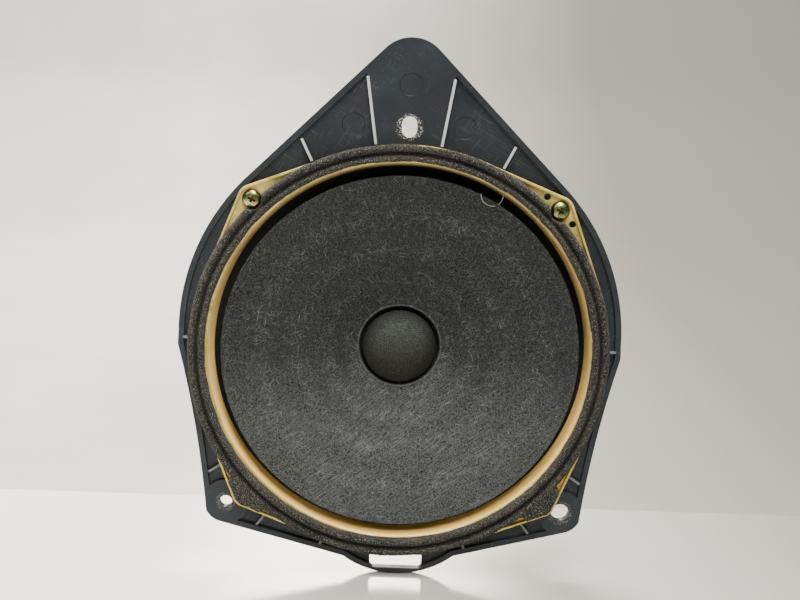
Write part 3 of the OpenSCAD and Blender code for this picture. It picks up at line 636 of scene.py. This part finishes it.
# %% Paper pulp
# Pressed kraft pulp, dyed through. Fibres are 1 to 3 mm long and finer than a hair, and are drawn
# 0.15 mm wide so that they show. Each layer of fibres is a noise stretched along one direction and
# cut off so that only its ridges stay. Six directions together read as felted. Pale specks and
# slanting wiped strokes of dust are shown only on the lower half of the dish, as painted light for
# that half facing up to the lamps, and a painted sheen makes them strongest near the cap. The bead
# carries a painted highlight, a thin line of light.
paper, tree, shader, place = material("kraft_pulp_pressed_dyed", Roughness=0.85, Specular_IOR_Level=0.12)
fibre = None
for angle in (8, 37, 68, 97, 128, 157):
    layer = strands(tree, place, angle, 0.15, 4.2, 0.75, 0.88)
    fibre = layer if fibre is None else node(tree, "Math", [fibre, layer], operation="MAXIMUM")
mottle = node(tree, "TexNoise", {"Vector": place, "Scale": per_mm(0.6), "Detail": 3, "Roughness": 0.8})
broad = node(tree, "TexNoise", {"Vector": place, "Scale": per_mm(20), "Detail": 3})
tone = coats(tree, "#030303",
             (node(tree, "MapRange", [mottle, 0.4, 0.62]), "#303230"),
             (node(tree, "MapRange", [broad, 0.35, 0.65, 0, 0.3]), "#23272a"))
lint = cloudy(tree, place, 0.42, 0.7, 0.76)
away = off_axis(tree, place)
height = node(tree, "SeparateXYZ", [place], output="Z")
uneven = node(tree, "MapRange", [broad, 0, 1, -20 * MM, 20 * MM])
height = node(tree, "Math", [height, uneven], operation="ADD")
# Painted light: the lower half of the dish, which faces up, is made paler.
lower = node(tree, "MapRange", [height, 0.0, -35 * MM])
strokes = node(tree, "Math", [strands(tree, place, 55, 0.3, 5, 0.47, 0.72),
                              node(tree, "MapRange", [broad, 0.35, 0.6, 0.45, 1])], operation="MULTIPLY")
strokes = node(tree, "Math", [strokes, 0.34], operation="MULTIPLY")
specks = node(tree, "MapRange", [mottle, 0.42, 0.66, 0.02, 0.26])
swept = node(tree, "Math", [specks, strokes], operation="MAXIMUM")
dust_and_painted_light = node(tree, "Math", [lower, swept], operation="MULTIPLY")
# Painted sheen: paler still near the cap, where the lower dish reflects the light.
painted_sheen_near_cap = node(tree, "MapRange", [away, 34 * MM, 20 * MM, 1, 1.9])
dust_and_painted_light = node(tree, "Math", [dust_and_painted_light, painted_sheen_near_cap], operation="MULTIPLY")
uneven = node(tree, "MapRange", [broad, 0.35, 0.65, 0.3, 0.52])
pale = node(tree, "Math", [fibre, uneven], operation="MULTIPLY")
# Painted highlight: a pale line of light on the bead.
bead_inside = node(tree, "MapRange", [away, BEAD_IN * MM, (BEAD_IN + 0.3) * MM, 0, 0.07])
bead_outside = node(tree, "MapRange", [away, BEAD_OUT * MM, (BEAD_OUT - 0.3) * MM])
bead_highlight = node(tree, "Math", [bead_inside, bead_outside], operation="MULTIPLY")
deep_neck = node(tree, "MapRange", [away, BEAD_IN * MM, (BEAD_IN - 0.3) * MM, 0, 0.75])
tone = coats(tree, tone,
             (dust_and_painted_light, "#6f7272"),
             (pale, "#868a8b"),
             (lint, "#a5a59e", 0.5),
             (bead_highlight, "#8c8e8a"),
             (deep_neck, "#070707"))
raised = node(tree, "Math", [fibre, 0.6], operation="MULTIPLY")
relief = node(tree, "Math", [raised, mottle], operation="ADD")
use(tree, shader, Base_Color=tone, Normal=node(tree, "Bump", {"Height": relief, "Distance": 0.07 * MM}))
finish_piece(cone, "moving_cone", "cone_paper", paper, "cone")

# %% [markdown]
# ## Dust cap
# A dome of woven cloth, stiffened with a rubbery coat, closes the coil. It shows a soft highlight
# and, close to, the threads under the coat.

# %% Dust cap
CAP_R, CAP_Y, DOME = 14.95, 9.8, 4.6
ball = CAP_R ** 2 / (2 * DOME) + DOME / 2
ball_y = CAP_Y - DOME + ball
CLOTH, INNER_R = 0.4, 13.6
dome = [(r, ball_y - math.sqrt(ball ** 2 - r ** 2)) for r in [CAP_R * i / 22 for i in range(22)]]
inner = [(r, ball_y - math.sqrt((ball - CLOTH) ** 2 - r ** 2))
         for r in [INNER_R * i / 14 for i in range(14, -1, -1)]]
skirt = [(CAP_R - 0.25, 9.62), (CAP_R - 0.05, 9.8), (CAP_R - 0.03, 9.98), (CAP_R - 0.25, 10.35),
         (14.1, 11.0), (13.8, 11.18), (HOLE_R, 11.2), (HOLE_R, 10.5)]
cap = turned("dust_cap_dome", dome + skirt + inner, 128)
smooth(cap, 60)

# %% Coated cloth
# Plain weave, half hidden by its coat. Its threads are 0.45 mm apart and are drawn at 0.9 mm so
# that they show. The IOR is that of rubber. A flecked painted highlight greys its upper half, and
# painted shade darkens its rim, where the dome curves away from the light.
cloth, tree, shader, place = material("cotton_weave_rubber_coated", IOR=1.5, Specular_IOR_Level=0.2)
weave = woven(tree, place, 0.9, 0.6)
mottle = node(tree, "TexNoise", {"Vector": place, "Scale": per_mm(0.6), "Detail": 3, "Roughness": 0.8})
tone = coats(tree, "#020202",
             (node(tree, "MapRange", [mottle, 0.42, 0.6]), "#26281f"),
             (node(tree, "MapRange", [weave, 0.0, 0.35, 0.75, 0]), "#020202"),
             (cloudy(tree, place, 0.4, 0.66, 0.74, to=(0, 0.5)), "#6c6e68"))
# Painted highlight on the upper half of the dome, flecked by the mottle.
painted_highlight_top = node(tree, "MapRange", [node(tree, "SeparateXYZ", [place], output="Z"), -6 * MM, 10 * MM, 0, 0.26])
specks = node(tree, "MapRange", [mottle, 0.4, 0.62, 0.3, 1.6])
painted_highlight_top = node(tree, "Math", [painted_highlight_top, specks], operation="MULTIPLY")
# Painted shade darkens the dome towards its rim.
rim = node(tree, "MapRange", [off_axis(tree, place), 9.5 * MM, 14.6 * MM, 0, 0.9])
tone = coats(tree, tone, (painted_highlight_top, "#545f5a"), (rim, "#030303"))
lumps = node(tree, "Math", [mottle, 1.8], operation="MULTIPLY")
relief = node(tree, "Math", [weave, lumps], operation="ADD")
use(tree, shader, Base_Color=tone, Roughness=node(tree, "MapRange", [mottle, 0.3, 0.7, 0.48, 0.62]),
    Normal=node(tree, "Bump", {"Height": relief, "Distance": 0.16 * MM}))
finish_piece(cap, "moving_cone", "cap_cloth", cloth, "dust_cap")

# %% [markdown]
# ## Surround and spider
# Two flexible rings carry the cone: a rubber half roll at its edge and a corrugated cloth disc at
# its neck. As the cone travels, a ring's inner edge goes with it and its outer edge stays. Since
# these rings are round, each point's share between the two bodies is worked out from its own radius.

# %% Blend by radius
# The share is worked out from the point's radius, eased at both ends.
def blend_ring(obj, inner, outer):
    """Bakes a ring's transform and works out each point's share between the cone at radius inner and
    the frame at radius outer, in mm. The shares are not kept.
    """
    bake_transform(obj)
    spots = np.array([v.co for v in obj.data.vertices])
    share = np.clip((np.hypot(spots[:, 0], spots[:, 2]) / MM - inner) / (outer - inner), 0, 1)
    share = share * share * (3 - 2 * share)


# %% Surround
ROLL_AT, ROLL_Y, ROLL_R, SHEET = 66.6, 0.9, 4.3, 0.6
land_in = [(r, wall_depth(r, PAPER + 0.6)) for r in (57.7, 58.6, 59.5, 60.4, 61.2, 61.8)]
riser = [(62.2, wall_depth(62.2, PAPER + 0.9)), (62.3, wall_depth(62.3, PAPER + 1.5))]
roll = arc(ROLL_AT, ROLL_Y, ROLL_R, 180, 0, 28)
land_out = [(70.9, 1.6), (70.95, 2.2), (71.15, 2.5), (71.5, 2.58), (72.6, 2.58), (74.2, 2.58)]
surround = turned("surround_roll", land_in + riser + roll + land_out, 192)
modify(surround, "SOLIDIFY", thickness=SHEET * MM, offset=0)
smooth(surround, 60)

# %% Rubber
# Butyl rubber, matt black with a faint cloudy bloom and a few specks of dust.
rubber, tree, shader, place = material("butyl_rubber_moulded", Roughness=0.7, IOR=1.52,
                                       Specular_IOR_Level=0.15)
haze = node(tree, "TexNoise", {"Vector": place, "Scale": per_mm(3.5), "Detail": 4, "Roughness": 0.7})
tone = coats(tree, "#050505",
             (node(tree, "MapRange", [haze, 0.4, 0.75]), "#0f0e0d"),
             (cloudy(tree, place, 0.4, 0.7, 0.78, to=(0, 0.3)), "#4b4841"))
use(tree, shader, Base_Color=tone,
    Normal=node(tree, "Bump", {"Height": node(tree, "TexNoise", {"Vector": place, "Scale": per_mm(0.3)}),
                               "Distance": 0.02 * MM}))
finish_piece(surround, None, "surround_rubber", rubber, "surround")
blend_ring(surround, ROLL_AT - ROLL_R, ROLL_AT + ROLL_R)

# %% Spider
SPIDER_Y, ROLL_FROM, SPIDER_R, ROLLS, DISC = 19.73, 16.05, 40.0, 6, 0.5
BEND_FROM, BEND_TO = 15.0, 41.0
pitch = (SPIDER_R - ROLL_FROM) / ROLLS
rolls = []
for i in range(ROLLS):
    side = 1 if i % 2 == 0 else -1
    rolls += arc(ROLL_FROM + pitch * (i + 0.5), SPIDER_Y, pitch / 2, side * 180, 0, 12)[(1 if i else 0):]
collar = [(r, SPIDER_Y) for r in (13.9, 15.0)]
rim = [(r, SPIDER_Y) for r in (41.5, 44.0, 46.6)]
spider = turned("spider_cloth_disc", collar + rolls + rim, 160)
modify(spider, "SOLIDIFY", thickness=DISC * MM, offset=0)
smooth(spider, 60)

# %% Resin-treated weave
# Cotton cloth dipped in phenolic resin and hot pressed, which turns it amber. The real threads are
# about 0.35 mm apart and are drawn at 0.7 mm so that they show.
weave_paint, tree, shader, place = material("cotton_weave_phenolic", Roughness=0.6, IOR=1.5,
                                            Sheen_Weight=0.1)
weave = woven(tree, place, 0.7, 0.4)
stain = node(tree, "TexNoise", {"Vector": place, "Scale": per_mm(9), "Detail": 3})
tone = coats(tree, "#8a6a2c",
             (stain, "#b3924e"),
             (node(tree, "MapRange", [weave, 0.0, 0.35, 0.6, 0]), "#4a3513"))
use(tree, shader, Base_Color=tone, Normal=node(tree, "Bump", {"Height": weave, "Distance": 0.15 * MM}))
finish_piece(spider, None, "spider_cloth", weave_paint, "spider")
blend_ring(spider, BEND_FROM, BEND_TO)

# %% [markdown]
# ## Lead wires
# Two braided leads carry the current from the terminals to the coil, bowed so that they can flex.
# Each is three strands laid round each other on one arc. The strands are curves with a round
# section, made into one mesh.

# %% Leads
ARM = Matrix.Rotation(math.radians(45), 4, "Y")
FROM_BOARD, LEAD_SIDE, LEAD_BOW, WIRE = (59.45, 13.6), 5.6, 5, 0.27


def lead_path(z, count=72):
    """Points of the lead's centre line: out along the arm, depth and sideways, in mm."""
    start, end = FROM_BOARD, (math.sqrt((FORMER_R + 1.1) ** 2 - z * z), NECK_Y + 5.4)
    span = math.dist(start, end)
    radius = span ** 2 / (8 * LEAD_BOW) + LEAD_BOW / 2
    across = ((start[1] - end[1]) / span, (end[0] - start[0]) / span)
    middle = [(start[k] + end[k]) / 2 - across[k] * (radius - LEAD_BOW) for k in (0, 1)]
    low = math.atan2(end[1] - middle[1], end[0] - middle[0])
    high = math.atan2(start[1] - middle[1], start[0] - middle[0])
    return [(middle[0] + radius * math.cos(low + (high - low) * i / count),
             middle[1] + radius * math.sin(low + (high - low) * i / count), z) for i in range(count + 1)]


for spot in (lead_path(LEAD_SIDE)[0], lead_path(LEAD_SIDE)[-1]):
    print("lead end in mm:", [round(v, 2) for v in spot])


def stranded(name, path, wire, count=3, laid=0.31, lay=3.2):
    """Wires of this radius in mm laid round a path, one turn in every lay mm, as one mesh."""
    wires = []
    for k in range(count):
        curve = bpy.data.curves.new(name, "CURVE")
        curve.dimensions = "3D"
        curve.bevel_depth = wire * MM
        curve.bevel_resolution = 2
        curve.use_fill_caps = True
        line = curve.splines.new("POLY")
        line.points.add(len(path) - 1)
        gone = 0
        for i, spot in enumerate(path):
            gone += math.dist(spot, path[i - 1]) if i else 0
            ahead = Vector(path[min(i + 1, len(path) - 1)]) - Vector(path[max(i - 1, 0)])
            side = Vector((0, 0, 1))
            up = ahead.cross(side).normalized()
            turn = 2 * math.pi * (gone / lay + k / count)
            at = Vector(spot) + laid * (math.cos(turn) * side + math.sin(turn) * up)
            line.points[i].co = (*(at * MM), 1)
        obj = bpy.data.objects.new(name, curve)
        bpy.context.scene.collection.objects.link(obj)
        wires.append(obj)
    bpy.ops.object.select_all(action="DESELECT")
    for obj in wires:
        obj.select_set(True)
    bpy.context.view_layer.objects.active = wires[0]
    bpy.ops.object.convert(target="MESH")
    if len(wires) > 1:
        bpy.ops.object.join()
    made = bpy.context.object
    made.name = made.data.name = name
    return smooth(made, 60)


def braid(name, tints):
    """Braided copper: bright wire tops and dark gaps, 0.2 mm apart and drawn at 0.6 mm to show."""
    made, tree, shader, place = material(name, Metallic=1.0)
    wires = node(tree, "TexWave", {"Vector": place, "Scale": ripple(0.6), "Distortion": 2.0, "Detail": 2},
                 output="Fac", bands_direction="DIAGONAL")
    tarnish = node(tree, "TexNoise", {"Vector": place, "Scale": per_mm(2.5), "Detail": 3})
    tone = coats(tree, tints[0],
                 (tarnish, tints[1]),
                 (node(tree, "MapRange", [wires, 0.0, 0.4, 0.7, 0]), "#1a120c"))
    use(tree, shader, Base_Color=tone, Roughness=node(tree, "MapRange", [tarnish, 0.3, 0.7, 0.28, 0.45]),
        Normal=node(tree, "Bump", {"Height": wires, "Distance": 0.04 * MM}))
    return made


LEADS = [("positive_lead_braid", LEAD_SIDE, "positive_lead", "copper_braid", ("#b87646", "#8c5531")),
         ("negative_lead_braid", -LEAD_SIDE, "negative_lead", "tinned_braid", ("#b5b4ae", "#8e8c84"))]
for name, z, cad_node, slot, tints in LEADS:
    lead = stranded(name, lead_path(z), WIRE)
    lead.data.transform(ARM)
    paint = braid("copper_braid_bare" if z > 0 else "copper_braid_tinned", tints)
    finish_piece(lead, None, slot, paint, cad_node)
    inner, outer = ARM @ Vector(lead_path(z)[0]), ARM @ Vector(lead_path(z)[-1])
    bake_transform(lead)

# %% [markdown]
# ## A stray fibre
# One long fibre has come loose and lies across the cone's edge. It is a thin curve and not a
# texture, so that it throws a shadow.

# %% Stray fibre
# The curve through the eight spots is smoothed with seven more between each two, by the rule of
# Catmull and Rom.
FIBRE_R, STEPS = 0.09, 8
SPOTS = [(28.6, -6.7, 65.8), (29.0, -5.9, 63.8), (30.1, -5.3, 62.1), (32.1, -4.8, 61.0),
         (34.4, -4.7, 60.8), (36.3, -5.0, 62.0), (37.2, -5.6, 63.8), (37.4, -6.3, 65.9)]
line = []
for i in range((len(SPOTS) - 1) * STEPS + 1):
    k, part = divmod(i, STEPS)
    t = part / STEPS
    a, b, c, d = (Vector(SPOTS[min(max(k + j, 0), len(SPOTS) - 1)]) for j in (-1, 0, 1, 2))
    line.append(tuple(0.5 * (2 * b + (c - a) * t + (2 * a - 5 * b + 4 * c - d) * t ** 2
                             + (3 * b - 3 * c + d - a) * t ** 3)))
hair = stranded("loose_fibre", line, FIBRE_R, count=1, laid=0)
hair_paint, tree, shader, place = material("cotton_fibre_loose", Roughness=0.7)
cloud = node(tree, "TexNoise", {"Vector": place, "Scale": per_mm(0.8)})
use(tree, shader, Base_Color=coats(tree, "#85857e", (cloud, "#b5b4ab")))
finish_piece(hair, "moving_cone", "cone_paper", hair_paint)

# %% [markdown]
# ## The motor and the terminals
# These pieces keep their CAD shape. The motor is turned steel and ground ferrite, and the blades
# sit on a brown phenolic board.

# %% Turned and plated steel
# The lathe leaves rings about 0.2 mm apart, drawn 1.3 mm apart so that they show.
steel, tree, shader, place = material("steel_turned_zinc_plated", Metallic=1.0)
rings = node(tree, "TexWave", {"Vector": place, "Scale": ripple(1.3), "Distortion": 0.8, "Detail": 2},
             output="Fac", wave_type="RINGS", rings_direction="Y")
film = node(tree, "TexNoise", {"Vector": place, "Scale": per_mm(12), "Detail": 4, "Roughness": 0.6})
stains = cloudy(tree, place, 1.6, 0.62, 0.74, to=(0, 0.5), detail=4, roughness=0.7)
tone = coats(tree, "#8c9196",
             (node(tree, "MapRange", [film, 0.35, 0.65]), "#b2b6b8"),
             (rings, "#70747a", 0.3),
             (stains, "#6b6a63"))
grain = node(tree, "TexNoise", {"Vector": place, "Scale": per_mm(0.3)})
relief = node(tree, "Math", [rings, grain], operation="ADD")
use(tree, shader, Base_Color=tone, Roughness=node(tree, "MapRange", [film, 0.3, 0.7, 0.26, 0.46]),
    Normal=node(tree, "Bump", {"Height": relief, "Distance": 0.02 * MM}))

# %% Ground ferrite
# Sintered ferrite is ground flat on two faces and left rough round its edge, where small chips show.
ferrite, tree, shader, place = material("ferrite_sintered_ground", Roughness=0.7, IOR=2.3,
                                        Specular_IOR_Level=0.25)
scratch = strands(tree, place, 20, 0.25, 14, 0.3, 0.7)
pits = cloudy(tree, place, 0.7, 0.62, 0.7, detail=3, roughness=0.7)
tone = coats(tree, "#1c1d1f", (scratch, "#2c2e31"), (pits, "#17181a"))
use(tree, shader, Base_Color=tone,
    Normal=node(tree, "Bump", {"Height": node(tree, "Math", [scratch, pits], operation="SUBTRACT"),
                               "Distance": 0.04 * MM}))

# %% Vent cloth
# Black polyester, woven open so that air passes. Its fine threads are drawn 0.7 mm apart to show.
mesh_paint, tree, shader, place = material("polyester_mesh_black", Roughness=0.7)
weave = woven(tree, place, 0.7)
use(tree, shader, Base_Color=coats(tree, "#060606", (weave, "#2c2c2b")),
    Normal=node(tree, "Bump", {"Height": weave, "Distance": 0.1 * MM}))

# %% Board
# Paper pressed with phenolic resin is brown, faintly glossy and cloudy.
board, tree, shader, place = material("phenolic_paper_board", Roughness=0.42, IOR=1.6)
cloud = node(tree, "TexNoise", {"Vector": place, "Scale": per_mm(1.2), "Detail": 4, "Roughness": 0.7})
tone = coats(tree, "#4e2b17", (cloud, "#6b3f22"))
use(tree, shader, Base_Color=tone, Normal=node(tree, "Bump", {"Height": cloud, "Distance": 0.02 * MM}))

# %% Blades and rivets
# The blades are stamped from tinned brass, which yellows where the tin is thin. The rivets are
# nickel-plated steel, which is greyer.
tin, tree, shader, place = material("brass_tinned_stamped", Metallic=1.0)
cloud = node(tree, "TexNoise", {"Vector": place, "Scale": per_mm(1.5), "Detail": 4, "Roughness": 0.65})
tone = coats(tree, "#d6cfae", (node(tree, "MapRange", [cloud, 0.4, 0.65]), "#b9a972"))
use(tree, shader, Base_Color=tone, Roughness=node(tree, "MapRange", [cloud, 0.3, 0.7, 0.2, 0.38]),
    Normal=node(tree, "Bump",
                {"Height": node(tree, "TexNoise", {"Vector": place, "Scale": per_mm(0.4), "Detail": 3}),
                 "Distance": 0.01 * MM}))

rivet, tree, shader, place = material("steel_rivet_nickel_plated", Metallic=1.0)
cloud = node(tree, "TexNoise", {"Vector": place, "Scale": per_mm(1.1), "Detail": 4, "Roughness": 0.65})
use(tree, shader, Base_Color=coats(tree, "#c9c6bd", (cloud, "#a39f95")),
    Roughness=node(tree, "MapRange", [cloud, 0.3, 0.7, 0.18, 0.36]),
    Normal=node(tree, "Bump", {"Height": node(tree, "TexNoise", {"Vector": place, "Scale": per_mm(0.5)}),
                               "Distance": 0.015 * MM}))

# %% Former, winding and glue
# The former is rolled polyimide film, amber with a hard gloss. The winding is enamelled copper wire,
# its turns drawn 0.35 mm apart to show. The glue is black rubber that set in soft lumps.
film_paint, tree, shader, place = material("polyimide_film", Roughness=0.25, IOR=1.6, Coat_Weight=0.3)
cloud = node(tree, "TexNoise", {"Vector": place, "Scale": per_mm(3), "Detail": 3})
use(tree, shader, Base_Color=coats(tree, "#7a3f0c", (cloud, "#a55f17")),
    Normal=node(tree, "Bump", {"Height": node(tree, "TexNoise", {"Vector": place, "Scale": per_mm(0.6)}),
                               "Distance": 0.01 * MM}))

wire_paint, tree, shader, place = material("copper_wire_enamelled", Metallic=1.0)
turns = node(tree, "TexWave", {"Vector": place, "Scale": ripple(0.35)}, output="Fac", bands_direction="Y")
tone = coats(tree, "#4a1b0b", (node(tree, "MapRange", [turns, 0.1, 0.6]), "#b4532a"))
use(tree, shader, Base_Color=tone, Roughness=cloudy(tree, place, 1, 0.3, 0.7, to=(0.25, 0.4)),
    Normal=node(tree, "Bump", {"Height": turns, "Distance": 0.08 * MM}))

glue, tree, shader, place = material("rubber_adhesive_black", Roughness=0.3, IOR=1.5)
lumps = node(tree, "TexNoise", {"Vector": place, "Scale": per_mm(1.6), "Detail": 3})
use(tree, shader, Base_Color=coats(tree, "#0c0b0a", (lumps, "#1d1a17")),
    Normal=node(tree, "Bump", {"Height": lumps, "Distance": 0.2 * MM}))

CARRIED = {"top_plate": steel, "yoke": steel, "staking_rivets": rivet, "ring_magnet": ferrite,
           "vent_screen": mesh_paint, "terminal_board": board, "positive_blade": tin, "negative_blade": tin,
           "terminal_rivets": rivet, "coil_former": film_paint, "voice_coil": wire_paint,
           "coil_leadouts": wire_paint, "neck_glue": glue, "spider_glue": glue}
for name, paint in CARRIED.items():
    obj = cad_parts[name]
    obj.data.materials.clear()
    obj.data.materials.append(paint)
print(len(CARRIED), "CAD nodes dressed")
